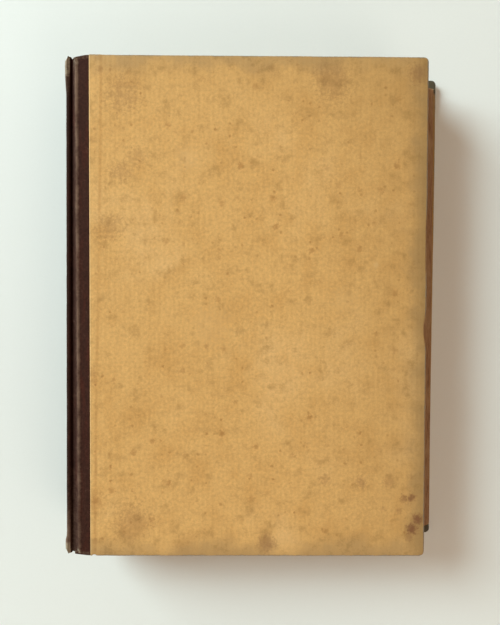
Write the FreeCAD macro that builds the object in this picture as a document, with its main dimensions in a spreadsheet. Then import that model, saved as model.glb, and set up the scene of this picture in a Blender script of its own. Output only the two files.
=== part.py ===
import FreeCAD, Part
from itertools import count
import os
import Sketcher

# An old half-cloth hardback book lying closed on its back cover.
# X runs from the spine to the fore-edge, Y from tail to head, Z up from the table.
# The origin is the middle of the book's underside.
doc = FreeCAD.newDocument("Book")

# Driving dimensions in millimetres
drivingSizes = [
    ("square", 3.8, "boards' overhang past the pages at head and tail"),
    ("board_width", 144.0, "boards, spine edge to fore-edge"),
    ("board_thick", 2.4, "boards"),
    ("corner_round", 1.8, "rounding of the boards' fore-edge corners"),
    ("joint_round", 0.8, "rounding of the boards' outer spine edge"),
    ("paper", 0.2, "cover paper"),
    ("cloth", 0.25, "spine cloth"),
    ("turn_in", 14.0, "cover paper and cloth folded over inside the boards"),
    ("paper_start", 6.0, "boards' spine edge to the edge of the cover paper"),
    ("cloth_reach", 9.5, "boards' spine edge to the hidden edge of the cloth"),
    ("endpaper", 0.15, "pastedowns and flyleaves"),
    ("pastedown_inset", 4.0, "boards' fore-edge to the pastedown's"),
    ("pastedown_trim", 0.2, "pastedown short of the pages' head and tail"),
    ("mull", 0.15, "gauze on the back of the pages"),
    ("mull_gap", 0.8, "gauze short of what is folded over inside the boards"),
    ("mull_flange", 22.0, "gauze glued to each board"),
    ("liner", 0.15, "paper strip over the gauze"),
    ("liner_inset", 3.5, "paper strip short of the pages' head and tail"),
    ("hollow", 0.35, "space between the paper strip and the stiffener"),
    ("stiffener", 0.4, "card strip inside the spine cloth"),
    ("stiffener_inset", 0.8, "card strip short of the boards' head and tail"),
    ("block_height", 197.0, "pages, tail to head"),
    ("block_width", 146.4, "pages, spine to fore-edge"),
    ("block_thick", 18.6, "pages pressed together"),
    ("lean", 10.9, "front cover's shift towards the spine: the book is cocked"),
    ("spine_rise", 3.0, "how far the spine bulges"),
    ("crest_radius", 1.05, "rounding of the cloth over each shoulder"),
    ("crest_rise", 0.35, "crest centre above the cover's inner face"),
    ("groove_width", 2.0, "crest to the board's spine edge"),
    ("hinge_inset", 0.4, "hinge line's distance inside the crest's face"),
    ("hinge_clearance", 0.2, "gap between the two halves of the cloth at a hinge"),
    ("band_radius", 0.6, "head and tail bands"),
    ("band_gap", 0.25, "ends of the bands to the cloth at the shoulders"),
    ("thread", 0.35, "sewing thread"),
    ("thread_row_width", 1.2, "one row of stitches"),
    ("thread_slot_gap", 0.1, "thread to the side of its slot"),
    ("kettle_inset", 12.0, "outermost rows from the pages' ends"),
]
sewingRows = 6

sizes = doc.addObject("Spreadsheet::Sheet", "Sizes")
for row, (name, value, note) in enumerate(drivingSizes, start=1):
    sizes.set(f"A{row}", name)
    sizes.set(f"B{row}", str(value))
    sizes.setAlias(f"B{row}", name)
    sizes.set(f"C{row}", note)

# Places worked out from the driving dimensions.
# The spine's layers are concentric arcs in the XZ plane about spine_x, spine_z.
# That circle runs through both crest centres with the given rise.
places = [
    ("back_face", "Sizes.paper + Sizes.cloth", "back board's outer face"),
    ("back_inner", "Layout.back_face + Sizes.board_thick", "back board's inner face"),
    ("inside_stack", "Sizes.cloth + Sizes.endpaper", "thickest covering inside a board"),
    ("block_bottom", "Layout.back_contact + Sizes.endpaper", "lowest page"),
    ("back_contact", "Layout.back_inner + Layout.inside_stack", "back cover meets the flyleaf"),
    ("block_top", "Layout.block_bottom + Sizes.block_thick", "highest page"),
    ("front_contact", "Layout.block_top + Sizes.endpaper", "front cover meets the flyleaf"),
    ("front_inner", "Layout.front_contact + Layout.inside_stack", "front board's inner face"),
    ("front_face", "Layout.front_inner + Sizes.board_thick", "front board's outer face"),
    ("crest_inset", "Sizes.groove_width + Sizes.crest_radius", "board's edge to crest centre"),
    ("front_crest_z", "Layout.front_contact + Sizes.crest_rise", ""),
    ("back_crest_z", "Layout.back_contact - Sizes.crest_rise", ""),
    ("crest_drop", "Layout.front_crest_z - Layout.back_crest_z", ""),
    ("chord", "hypot(Sizes.lean; Layout.crest_drop)", "crest centre to crest centre"),
    ("mid_radius", "Layout.chord ^ 2 / (8 * Sizes.spine_rise) + Sizes.spine_rise / 2", ""),
    ("to_centre", "Layout.mid_radius - Sizes.spine_rise", "chord to the spine's centre"),
    ("cloth_outer", "Layout.mid_radius + Sizes.crest_radius", "radius outside the cloth"),
    ("cloth_inner", "Layout.cloth_outer - Sizes.cloth", ""),
    ("stiffener_inner", "Layout.cloth_inner - Sizes.stiffener", ""),
    ("liner_outer", "Layout.stiffener_inner - Sizes.hollow", ""),
    ("mull_outer", "Layout.liner_outer - Sizes.liner", ""),
    ("block_radius", "Layout.mull_outer - Sizes.mull", "back of the pages"),
    ("centre_from_edge",
     "Sizes.lean / 2 - Layout.crest_inset + Layout.to_centre * Layout.crest_drop / Layout.chord",
     "front board's spine edge to the spine's centre"),
    ("overall_width",
     "Sizes.lean + Sizes.board_width + Sizes.paper + Layout.cloth_outer - Layout.centre_from_edge",
     "spine to the back cover's fore-edge"),
    ("spine_x", "Layout.cloth_outer - Layout.overall_width / 2", ""),
    ("spine_z",
     "(Layout.front_crest_z + Layout.back_crest_z) / 2"
     " + Layout.to_centre * Sizes.lean / Layout.chord", ""),
    ("front_edge", "Layout.spine_x - Layout.centre_from_edge", "front board's spine edge"),
    ("back_edge", "Layout.front_edge + Sizes.lean", "back board's spine edge"),
    ("front_crest_x", "Layout.front_edge - Layout.crest_inset", ""),
    ("back_crest_x", "Layout.back_edge - Layout.crest_inset", ""),
    ("crest_inner", "Sizes.crest_radius - Sizes.cloth", "radius inside the cloth at a crest"),
    ("front_angle",
     "180 - asin((Layout.front_crest_z - Layout.spine_z) / Layout.mid_radius) / 1 deg", ""),
    ("back_angle",
     "180 + asin((Layout.spine_z - Layout.back_crest_z) / Layout.mid_radius) / 1 deg", ""),
    ("arc_span", "Layout.back_angle - Layout.front_angle", ""),
    ("hinge_inset", "Sizes.groove_width + Sizes.hinge_inset", "board's edge to hinge line"),
    ("front_hinge_x", "Layout.front_edge - Layout.hinge_inset", ""),
    ("back_hinge_x", "Layout.back_edge - Layout.hinge_inset", ""),
    ("hinge_reach", "Layout.hinge_inset - Sizes.cloth - Sizes.hinge_clearance",
     "hinge line to the end of the spine cloth"),
    ("half_block", "Sizes.block_height / 2", "half the pages' height"),
    ("half_board", "Layout.half_block + Sizes.square", "half the boards' height"),
    ("half_open", "Layout.half_board - Sizes.turn_in", "half the board left bare inside"),
    ("half_pastedown", "Layout.half_block - Sizes.pastedown_trim", ""),
    ("half_mull", "Layout.half_open - Sizes.mull_gap", ""),
    ("half_liner", "Layout.half_block - Sizes.liner_inset", ""),
    ("half_stiffener", "Layout.half_board - Sizes.stiffener_inset", ""),
    ("half_cloth", "Layout.half_stiffener + Sizes.cloth", "half the spine cloth's height"),
]
layout = doc.addObject("Spreadsheet::Sheet", "Layout")
for row, (name, _, note) in enumerate(places, start=1):
    layout.set(f"A{row}", name)
    layout.setAlias(f"B{row}", name)
    layout.set(f"C{row}", note)
for row, (_, formula, _) in enumerate(places, start=1):
    layout.set(f"B{row}", "=" + formula)
doc.recompute()

nodes = []
serial = count(1)


def node(part, label):
    """Keeps a finished sub-part under the name of its file."""
    part.Label = label
    nodes.append(part)
    return part


def box(x0, x1, y0, y1, z0, z1):
    part = doc.addObject("Part::Box", f"Box{next(serial)}")
    part.setExpression("Length", f"({x1}) - ({x0})")
    part.setExpression("Width", f"({y1}) - ({y0})")
    part.setExpression("Height", f"({z1}) - ({z0})")
    part.setExpression("Placement.Base.x", x0)
    part.setExpression("Placement.Base.y", y0)
    part.setExpression("Placement.Base.z", z0)
    return part


def slab(x0, x1, half, z0, z1):
    """A box centred on the book's middle, half its height each way along Y."""
    return box(x0, x1, f"-({half})", half, z0, z1)


def sector(x, z, radius, start, span, y0, y1):
    """A slice of a solid cylinder about the line x, z along Y, from y0 to y1."""
    part = doc.addObject("Part::Cylinder", f"Sector{next(serial)}")
    part.setExpression("Radius", radius)
    part.setExpression("Height", f"({y1}) - ({y0})")
    part.setExpression("Angle", span)
    turn = f"rotation(vector(1; 0; 0); 90) * rotation(vector(0; 0; 1); {start})"
    part.setExpression("Placement", f"placement(vector({x}; {y1}; {z}); {turn})")
    return part


def cut(base, *tools):
    for tool in tools:
        result = doc.addObject("Part::Cut", f"Cut{next(serial)}")
        result.Base = base
        result.Tool = tool
        base = result
    return base


def fuse(*shapes):
    result = doc.addObject("Part::MultiFuse", f"Fuse{next(serial)}")
    result.Shapes = list(shapes)
    result.Refine = True
    return result


def common(base, tool):
    result = doc.addObject("Part::MultiCommon", f"Common{next(serial)}")
    result.Shapes = [base, tool]
    return result


def ring(outer, inner, half):
    """One of the spine's curved layers."""
    args = ("Layout.spine_x", "Layout.spine_z")
    span = ("Layout.front_angle", "Layout.arc_span", f"-({half})", half)
    return cut(sector(*args, outer, *span), sector(*args, inner, *span))


def edgesWhere(shape, test):
    """Names of the straight edges whose two ends both pass the test."""
    names = []
    for index, edge in enumerate(shape.Edges, start=1):
        if all(test(vertex.Point) for vertex in edge.Vertexes):
            names.append(f"Edge{index}")
    return names


def plate(x0, x1, half, z0, z1, corner=None, edge=None, edgeOnTop=True):
    """A flat plate, with its fore-edge corners and its outer spine edge rounded on request."""
    body = doc.addObject("PartDesign::Body", f"Plate{next(serial)}")
    sketch = body.newObject("Sketcher::SketchObject", f"Outline{next(serial)}")
    base = [plane for plane in body.Origin.OriginFeatures if plane.Role == "XY_Plane"][0]
    sketch.AttachmentSupport = [(base, "")]
    sketch.MapMode = "FlatFace"
    roughLength, roughHalf = 150, 100
    points = [FreeCAD.Vector(0, -roughHalf), FreeCAD.Vector(roughLength, -roughHalf),
              FreeCAD.Vector(roughLength, roughHalf), FreeCAD.Vector(0, roughHalf)]
    for start, end in zip(points, points[1:] + points[:1]):
        sketch.addGeometry(Part.LineSegment(start, end))
    constraint = Sketcher.Constraint
    for line in range(4):
        sketch.addConstraint(constraint("Coincident", line, 2, (line + 1) % 4, 1))
    for line in (0, 2):
        sketch.addConstraint(constraint("Horizontal", line))
    for line in (1, 3):
        sketch.addConstraint(constraint("Vertical", line))
    sketch.addConstraint(constraint("Symmetric", 0, 1, 3, 1, -1, 1))
    length = sketch.addConstraint(constraint("DistanceX", 0, 1, 0, 2, roughLength))
    height = sketch.addConstraint(constraint("DistanceY", 1, 1, 1, 2, 2 * roughHalf))
    sketch.setExpression(f"Constraints[{length}]", f"({x1}) - ({x0})")
    sketch.setExpression(f"Constraints[{height}]", f"2 * ({half})")
    pad = body.newObject("PartDesign::Pad", f"Pad{next(serial)}")
    pad.Profile = sketch
    pad.setExpression("Length", f"({z1}) - ({z0})")
    doc.recompute()
    bounds = pad.Shape.BoundBox
    rounded = pad
    if corner:
        ends = edgesWhere(pad.Shape, lambda p: p.x > bounds.XMax / 2)
        upright = [name for name in ends if abs(pad.Shape.getElement(name).tangentAt(0).z) > 0.5]
        rounded = roundOff(body, pad, upright, corner)
    if edge:
        level = bounds.ZMax if edgeOnTop else bounds.ZMin
        tiny = 1e-6
        wanted = edgesWhere(rounded.Shape, lambda p: abs(p.x) < tiny and abs(p.z - level) < tiny)
        roundOff(body, rounded, wanted, edge)
    body.setExpression("Placement.Base.x", x0)
    body.setExpression("Placement.Base.z", z0)
    return body


def roundOff(body, base, edges, radius):
    fillet = body.newObject("PartDesign::Fillet", f"Round{next(serial)}")
    fillet.Base = (base, edges)
    fillet.setExpression("Radius", radius)
    body.Tip = fillet
    doc.recompute()
    return fillet


def cover(name, onTop):
    """Board, cloth strip, cover paper, gauze flange and pastedown of one cover."""
    left = f"Layout.{name}_edge"
    face = f"Layout.{name}_face"
    inner = f"Layout.{name}_inner"
    out = "+" if onTop else "-"
    back = "-" if onTop else "+"
    halfBoard = "Layout.half_board"
    right = f"{left} + Sizes.board_width"

    def levels(outside, inside):
        """Heights of a layer from outside the board's face to inside its inner face."""
        low, high = f"{inner} {back} ({inside})", f"{face} {out} ({outside})"
        return (low, high) if onTop else (high, low)

    def inside(depth):
        """Heights of a layer on the board's inner face."""
        low, high = f"{inner} {back} ({depth})", inner
        return (low, high) if onTop else (high, low)

    board = plate(left, right, halfBoard, *levels("0", "0"),
                  corner="Sizes.corner_round", edge="Sizes.joint_round", edgeOnTop=onTop)
    node(board, f"{name}_board")

    clothEnd = f"{left} + Sizes.cloth_reach"
    clothHalf = f"{halfBoard} + Sizes.cloth"
    wrapped = plate(f"{left} - Sizes.cloth", clothEnd, clothHalf,
                    *levels("Sizes.cloth", "Sizes.cloth"),
                    edge="Sizes.joint_round + Sizes.cloth", edgeOnTop=onTop)
    openHalf = "Layout.half_open"
    clothWindow = slab(left, clothEnd, openHalf, *inside("2 * Sizes.cloth"))
    sideCloth = cut(wrapped, board, clothWindow)
    node(sideCloth, f"{name}_side_cloth")

    paperHalf = f"{halfBoard} + Sizes.paper"
    overCloth = plate(f"{left} + Sizes.paper_start", f"{clothEnd} + Sizes.paper",
                      f"{clothHalf} + Sizes.paper", *levels("Sizes.cloth + Sizes.paper", "0"))
    overBoard = plate(clothEnd, f"{right} + Sizes.paper", paperHalf,
                      *levels("Sizes.paper", "Sizes.paper"),
                      corner="Sizes.corner_round + Sizes.paper")
    underCloth = slab(f"{left} - Sizes.cloth", clothEnd, clothHalf,
                      *levels("Sizes.cloth", "Sizes.cloth"))
    window = slab(f"{left} - Sizes.cloth", f"{right} - Sizes.turn_in", openHalf,
                  *inside("2 * Sizes.paper"))
    paper = cut(fuse(overCloth, overBoard), board, underCloth, window)
    node(paper, f"{name}_cover_paper")

    mullHalf = "Layout.half_mull"
    flange = slab(left, f"{left} + Sizes.mull_flange", mullHalf, *inside("Sizes.mull"))
    node(flange, f"{name}_mull_flange")

    # The pastedown is one thin sheet that steps over whatever lies on the board.
    edgeHalf = "Layout.half_pastedown"
    stepHalf = f"{openHalf} - Sizes.endpaper"
    end = f"{right} - Sizes.pastedown_inset"
    overTurnIn = inside("Sizes.paper + Sizes.endpaper")
    overTheCloth = inside("Sizes.cloth + Sizes.endpaper")
    clothStep = f"{clothEnd} + Sizes.endpaper"
    sheets = [
        slab(left, end, edgeHalf, *inside("Sizes.endpaper")),
        slab(f"{right} - Sizes.turn_in - Sizes.endpaper", end, edgeHalf, *overTurnIn),
        slab(left, f"{left} + Sizes.mull_flange + Sizes.endpaper",
             f"{mullHalf} + Sizes.endpaper", *inside("Sizes.mull + Sizes.endpaper")),
    ]
    for low, high in ((stepHalf, edgeHalf), (f"-({edgeHalf})", f"-({stepHalf})")):
        sheets.append(box(left, end, low, high, *overTurnIn))
        sheets.append(box(left, clothStep, low, high, *overTheCloth))
    pastedown = cut(fuse(*sheets), paper, sideCloth, flange)
    node(pastedown, f"{name}_pastedown")


def pageBlock():
    """The sewn pages: a leaning slab with a rounded back and a hollow fore-edge."""
    half = "Layout.half_block"
    centre = ("Layout.spine_x", "Layout.spine_z")
    fullTurn = ("0", "360")
    far = "Layout.spine_x + Sizes.block_width"
    pages = slab("-Layout.overall_width", far, half, "Layout.block_bottom", "Layout.block_top")
    frontShoulder = slab("-Layout.overall_width", "Layout.front_crest_x + Layout.crest_inner",
                         half, "Layout.block_top", "Layout.front_crest_z")
    backShoulder = slab("-Layout.overall_width", "Layout.back_crest_x + Layout.crest_inner",
                        half, "Layout.back_crest_z", "Layout.block_bottom")
    rounded = sector(*centre, "Layout.block_radius", *fullTurn, f"-({half})", half)
    rest = slab("Layout.spine_x", far, half, "0", "Layout.front_face")
    hollowed = sector(far, "Layout.spine_z", "Layout.block_radius", *fullTurn,
                      f"-({half}) - Sizes.paper", f"{half} + Sizes.paper")
    block = common(fuse(pages, frontShoulder, backShoulder), fuse(rounded, rest))
    return cut(block, hollowed)


def sewingRow(index):
    """One row of stitches across the back of the pages, and the slot it lies in."""
    step = f"(Sizes.block_height - 2 * Sizes.kettle_inset) / {sewingRows - 1}"
    middle = f"Sizes.kettle_inset - Layout.half_block + {index} * {step}"

    def band(extra):
        args = ("Layout.spine_x", "Layout.spine_z")
        reach = f"Sizes.thread_row_width / 2 + {extra}"
        across = ("Layout.front_angle", "Layout.arc_span",
                  f"{middle} - ({reach})", f"{middle} + {reach}")
        return cut(sector(*args, "Layout.block_radius", *across),
                   sector(*args, "Layout.block_radius - Sizes.thread", *across))

    return band("0"), band("Sizes.thread_slot_gap")


def headBand(yPlace):
    """A thin roll along the back of the pages, just beyond their head or tail."""
    trim = "((Sizes.crest_rise + Sizes.band_gap) / Layout.block_radius * 180 / pi)"
    roll = doc.addObject("Part::Torus", f"Roll{next(serial)}")
    roll.setExpression("Radius1", "Layout.block_radius - Sizes.band_radius")
    roll.setExpression("Radius2", "Sizes.band_radius")
    roll.setExpression("Angle3", f"Layout.arc_span - 2 * {trim}")
    start = f"Layout.front_angle + {trim}"
    turn = f"rotation(vector(1; 0; 0); 90) * rotation(vector(0; 0; 1); {start})"
    place = f"vector(Layout.spine_x; {yPlace}; Layout.spine_z)"
    roll.setExpression("Placement", f"placement({place}; {turn})")
    return roll


def crest(name, start, span, foldLevels):
    """The cloth round one shoulder, down into the groove and on to the hinge line."""
    x, z = f"Layout.{name}_crest_x", f"Layout.{name}_crest_z"
    half = "Layout.half_cloth"
    whole = (start, span, f"-{half}", half)
    cap = cut(sector(x, z, "Sizes.crest_radius", *whole), sector(x, z, "Layout.crest_inner", *whole))
    face = f"{x} + Layout.crest_inner"
    drop = slab(face, f"{x} + Sizes.crest_radius", half, *foldLevels["drop"])
    floor = slab(face, f"Layout.{name}_edge", half, *foldLevels["floor"])
    hinge = sector(f"Layout.{name}_hinge_x", f"Layout.{name}_contact", "Layout.hinge_reach",
                   "0", "360", f"-{half}", half)
    return [cap, drop, common(floor, hinge)]


def spineCloth():
    """Cloth round the spine, folded in over the stiffener at head and tail."""
    half = "Layout.half_cloth"
    wrapped = ring("Layout.cloth_outer", "Layout.stiffener_inner - Sizes.cloth", half)
    inside = ring("Layout.cloth_inner", "Layout.stiffener_inner - 2 * Sizes.cloth",
                  "Layout.half_stiffener - Sizes.turn_in")
    shell = cut(wrapped, spineStiffener, inside)
    frontLevels = {
        "drop": ("Layout.front_contact", "Layout.front_crest_z"),
        "floor": ("Layout.front_contact", "Layout.front_contact + Sizes.cloth"),
    }
    backLevels = {
        "drop": ("Layout.back_crest_z", "Layout.back_contact"),
        "floor": ("Layout.back_contact - Sizes.cloth", "Layout.back_contact"),
    }
    over = crest("front", "0", "Layout.front_angle", frontLevels)
    under = crest("back", "Layout.back_angle", "360 - Layout.back_angle", backLevels)
    return fuse(shell, *over, *under)


cover("front", onTop=True)
cover("back", onTop=False)

spineStiffener = ring("Layout.cloth_inner", "Layout.stiffener_inner", "Layout.half_stiffener")
node(spineStiffener, "spine_stiffener")
node(spineCloth(), "spine_cloth")
node(ring("Layout.liner_outer", "Layout.mull_outer", "Layout.half_liner"), "spine_liner")
node(ring("Layout.mull_outer", "Layout.block_radius", "Layout.half_mull"), "spine_mull")

slots = []
for index in range(sewingRows):
    thread, slot = sewingRow(index)
    node(thread, f"sewing_row_{index + 1}")
    slots.append(slot)
node(cut(pageBlock(), *slots), "page_block")

bandPlace = "(Layout.half_block + Sizes.band_radius)"
node(headBand(bandPlace), "head_band")
node(headBand(f"-{bandPlace}"), "tail_band")

# The flyleaves lie flat on the first and last page, up to the shoulders.
leafHalf = "Layout.half_block"
frontReach = "Layout.block_radius ^ 2 - (Layout.block_top - Layout.spine_z) ^ 2"
backReach = "Layout.block_radius ^ 2 - (Layout.spine_z - Layout.block_bottom) ^ 2"
foreEdge = "Layout.spine_x + Sizes.block_width"
node(slab("Layout.front_crest_x + Layout.crest_inner", f"{foreEdge} - sqrt({frontReach})",
          leafHalf, "Layout.block_top", "Layout.front_contact"), "front_flyleaf")
node(slab("Layout.back_crest_x + Layout.crest_inner", f"{foreEdge} - sqrt({backReach})",
          leafHalf, "Layout.back_contact", "Layout.block_bottom"), "back_flyleaf")

doc.recompute()

for part in doc.Objects:
    if "Invalid" in part.State or "Error" in part.State:
        raise RuntimeError(f"{part.Name} ({part.Label}) failed: {part.State}")
for part in nodes:
    if part.Shape.isNull() or not part.Shape.isValid():
        raise RuntimeError(f"{part.Label} has no valid shape")
    if len(part.Shape.Solids) != 1:
        raise RuntimeError(f"{part.Label} has {len(part.Shape.Solids)} solids")

os.makedirs("parts", exist_ok=True)
for part in nodes:
    part.Shape.exportStep(f"parts/{part.Label}.step")
    span = part.Shape.BoundBox
    print(f"{part.Label:20} X {span.XMin:8.2f} {span.XMax:8.2f}  Y {span.YMin:8.2f} {span.YMax:8.2f}"
          f"  Z {span.ZMin:6.2f} {span.ZMax:6.2f}  {part.Shape.Volume:10.1f}")
for name in ("front_hinge_x", "front_contact", "back_hinge_x", "back_contact", "overall_width"):
    print(name, round(layout.get(name), 4))
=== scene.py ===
import math
import bmesh
import bpy
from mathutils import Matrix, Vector, noise


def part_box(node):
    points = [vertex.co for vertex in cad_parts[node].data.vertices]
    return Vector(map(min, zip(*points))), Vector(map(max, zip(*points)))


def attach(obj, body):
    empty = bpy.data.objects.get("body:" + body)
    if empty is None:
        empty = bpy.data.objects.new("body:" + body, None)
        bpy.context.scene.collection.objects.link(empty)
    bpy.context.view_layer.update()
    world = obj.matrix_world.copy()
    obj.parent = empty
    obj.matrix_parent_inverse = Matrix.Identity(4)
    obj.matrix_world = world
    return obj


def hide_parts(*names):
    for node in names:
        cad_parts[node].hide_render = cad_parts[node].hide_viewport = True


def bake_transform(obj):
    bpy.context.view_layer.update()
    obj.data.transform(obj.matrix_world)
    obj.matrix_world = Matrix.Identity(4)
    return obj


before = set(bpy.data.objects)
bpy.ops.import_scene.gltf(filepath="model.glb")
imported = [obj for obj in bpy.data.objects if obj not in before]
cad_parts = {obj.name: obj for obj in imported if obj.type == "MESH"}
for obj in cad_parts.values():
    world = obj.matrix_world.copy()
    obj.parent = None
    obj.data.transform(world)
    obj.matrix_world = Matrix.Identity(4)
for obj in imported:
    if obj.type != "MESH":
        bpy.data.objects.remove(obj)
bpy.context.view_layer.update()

# An old half-cloth hardback book: straw-coloured ribbed paper on the boards, dark brown cloth on
# the spine. Lengths are written in millimetres and turned to metres where a mesh is made.
mm = 0.001


def span(node):
    low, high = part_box(node)
    return [value / mm for value in low], [value / mm for value in high]


def smooth(value, low, high):
    share = min(1, max(0, (value - low) / (high - low)))
    return share * share * (3 - 2 * share)


def steps(start, end, count):
    return [start + (end - start) * index / count for index in range(count + 1)]


def wander(x, y, scale, seed=0.0):
    return noise.noise(Vector((x / scale, y / scale, seed)))


def arc(centre, radius, start, end, count):
    turns = [math.radians(angle) for angle in steps(start, end, count)]
    return [(centre[0] + radius * math.cos(turn), centre[1] + radius * math.sin(turn)) for turn in turns]


# The book's own measures, read off the frame
class Cover:
    # Local places: s from the board's spine edge to its fore-edge, y along it, h out of its face
    def __init__(self, name, onTop):
        low, high = span(f"{name}_board")
        self.name, self.onTop = name, onTop
        self.out = 1 if onTop else -1
        self.left = low[0]
        self.width = high[0] - low[0]
        self.half = high[1]
        self.thick = high[2] - low[2]
        self.face = high[2] if onTop else low[2]
        self.seed = 3.7 if onTop else 11.2

    def place(self, s, y, h):
        return Vector(((self.left + s) * mm, y * mm, (self.face + self.out * h) * mm))


front = Cover("front", True)
back = Cover("back", False)

book = {"cloth": 0.25, "spineRise": 3.0, "crestRadius": 1.05, "crestInset": 3.05, "crestRise": 0.35,
        "layersInside": 1.3, "pagesWide": 146.4, "hingeInset": 2.4, "sewingRows": 6}
flyTop = span("front_flyleaf")[1][2]
flyBottom = span("back_flyleaf")[0][2]
frontCrest = (front.left - book["crestInset"], flyTop + book["crestRise"])
backCrest = (back.left - book["crestInset"], flyBottom - book["crestRise"])
crestDrop = frontCrest[1] - backCrest[1]
crestShift = backCrest[0] - frontCrest[0]
chord = math.hypot(crestDrop, crestShift)
midRadius = chord ** 2 / (8 * book["spineRise"]) + book["spineRise"] / 2
towards = midRadius - book["spineRise"]
spineCentre = ((frontCrest[0] + backCrest[0]) / 2 + towards * crestDrop / chord,
               (frontCrest[1] + backCrest[1]) / 2 + towards * crestShift / chord)
clothRadius = midRadius + book["crestRadius"]
blockRadius = clothRadius - book["layersInside"]
frontAngle = 180 - math.degrees(math.asin((frontCrest[1] - spineCentre[1]) / midRadius))
backAngle = 180 + math.degrees(math.asin((spineCentre[1] - backCrest[1]) / midRadius))
halfPages = span("page_block")[1][1]


# Node trees are written as plain expressions
class Socket:
    def __init__(self, graph, socket):
        self.graph, self.socket = graph, socket

    def maths(self, operation, *terms):
        return self.graph.add("ShaderNodeMath", {"operation": operation}, terms)

    def also(self, name):
        return Socket(self.graph, self.socket.node.outputs[name])

    def __add__(self, other):
        return self.maths("ADD", self, other)

    def __sub__(self, other):
        return self.maths("SUBTRACT", self, other)

    def __rsub__(self, other):
        return self.maths("SUBTRACT", other, self)

    def __mul__(self, other):
        return self.maths("MULTIPLY", self, other)

    def __truediv__(self, other):
        return self.maths("DIVIDE", self, other)

    def __pow__(self, other):
        return self.maths("POWER", self, other)

    __radd__ = __add__
    __rmul__ = __mul__


class Graph:
    def __init__(self, tree):
        self.tree = tree

    def add(self, kind, settings=None, values=(), out=0):
        node = self.tree.nodes.new(kind)
        for name, value in (settings or {}).items():
            setattr(node, name, value)
        for key, value in values.items() if isinstance(values, dict) else enumerate(values):
            if isinstance(value, Socket):
                self.tree.links.new(value.socket, node.inputs[key])
            else:
                node.inputs[key].default_value = value
        return Socket(self, node.outputs[out])

    def vector(self, x, y, z):
        return self.add("ShaderNodeCombineXYZ", values=[x, y, z])

    def parts(self, vector):
        first = self.add("ShaderNodeSeparateXYZ", values=[vector])
        return first, first.also("Y"), first.also("Z")

    def scaled(self, vector, factors):
        return self.add("ShaderNodeVectorMath", {"operation": "MULTIPLY"}, [vector, factors])

    def stretched(self, vector, factor):
        return self.add("ShaderNodeVectorMath", {"operation": "SCALE"}, {0: vector, "Scale": factor})

    def plus(self, first, second):
        return self.add("ShaderNodeVectorMath", {"operation": "ADD"}, [first, second])


class Finish(Graph):
    # A material whose colour starts from a ground and is laid on coat by coat
    def __init__(self, name, ground, roughness=0.85, specular=0.2):
        self.material = bpy.data.materials.new(name)
        self.material.use_nodes = True
        super().__init__(self.material.node_tree)
        self.shader = self.tree.nodes["Principled BSDF"]
        self.shader.inputs["Roughness"].default_value = roughness
        self.shader.inputs["Specular IOR Level"].default_value = specular
        self.object = self.add("ShaderNodeTexCoord", out="Object")
        self.tint = tones[ground]

    def millimetres(self):
        return self.parts(self.scaled(self.object, (1 / mm, 1 / mm, 1 / mm)))

    def noise(self, vector, scale, detail=3, roughness=0.55):
        values = {"Vector": vector, "Scale": scale, "Detail": detail, "Roughness": roughness}
        return self.add("ShaderNodeTexNoise", values=values)

    def cells(self, vector, scale):
        return self.add("ShaderNodeTexVoronoi", values={"Vector": vector, "Scale": scale})

    def ease(self, value, low, high, start=0.0, end=1.0):
        settings = {"interpolation_type": "SMOOTHSTEP"}
        return self.add("ShaderNodeMapRange", settings, [value, low, high, start, end])

    def blend(self, first, second, share, mode="MIX"):
        settings = {"data_type": "RGBA", "blend_type": mode}
        first, second = (value if isinstance(value, Socket) else (*value, 1) for value in (first, second))
        return self.add("ShaderNodeMix", settings, {0: share, 6: first, 7: second}, out=2)

    def lay(self, tone, share):
        self.tint = self.blend(self.tint, tones[tone], share)

    def shade(self, factor):
        self.tint = self.blend(self.tint, self.vector(factor, factor, factor), 1.0, "MULTIPLY")

    def bump(self, height, distance, strength=1.0, under=None):
        values = {"Strength": strength, "Distance": distance, "Height": height}
        if under:
            values["Normal"] = under
        return self.add("ShaderNodeBump", values=values)

    def done(self, normal, roughness=None):
        links = {"Base Color": self.tint, "Normal": normal, "Roughness": roughness}
        for name, value in links.items():
            if value:
                self.tree.links.new(value.socket, self.shader.inputs[name])
        return self.material


# Colours are linear
tones = {
    "straw": (0.640, 0.372, 0.130), "strawDim": (0.330, 0.190, 0.062), "strawLight": (0.730, 0.465, 0.205),
    "strawDeep": (0.500, 0.255, 0.070), "tan": (0.400, 0.222, 0.068), "dusty": (0.420, 0.260, 0.105),
    "olive": (0.240, 0.140, 0.048), "grime": (0.170, 0.062, 0.028), "foxing": (0.330, 0.145, 0.038),
    "worn": (0.200, 0.180, 0.140), "cornerDirt": (0.060, 0.058, 0.040), "cream": (0.760, 0.620, 0.380),
    # The rubbed cloth colour also carries the painted highlight of the ridge over the board's edge
    "brown": (0.045, 0.0170, 0.0115), "reddish": (0.070, 0.0185, 0.0110), "rubbedAndLit": (0.175, 0.108, 0.074),
    "bare": (0.330, 0.270, 0.190), "boardGrey": (0.235, 0.190, 0.130), "card": (0.330, 0.270, 0.200),
    "pageEdge": (0.360, 0.205, 0.105), "pageDark": (0.170, 0.078, 0.034), "leaf": (0.720, 0.610, 0.430),
    "leafBrown": (0.480, 0.330, 0.175), "gauze": (0.560, 0.490, 0.370), "glue": (0.300, 0.170, 0.070),
    "flax": (0.620, 0.520, 0.370), "floor": (0.800, 0.835, 0.815), "wallGlow": (0.380, 0.355, 0.335),
    "dark": (0.0, 0.0, 0.0),
}

# The noises, patches to specks, are in waves per metre, as is ribWander; ribPitch and edgeDirt are
# in millimetres, and ingrained is a share
paperLook = {
    "patches": 20, "blotches": 75, "cloudy": 170, "mottle": 820, "streaks": 900, "fibres": 2600,
    "specks": 330, "fineSpecks": 138.6, "ribPitch": 2.0, "ribWander": 260, "edgeDirt": 9.0, "ingrained": 0.34,
}
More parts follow.
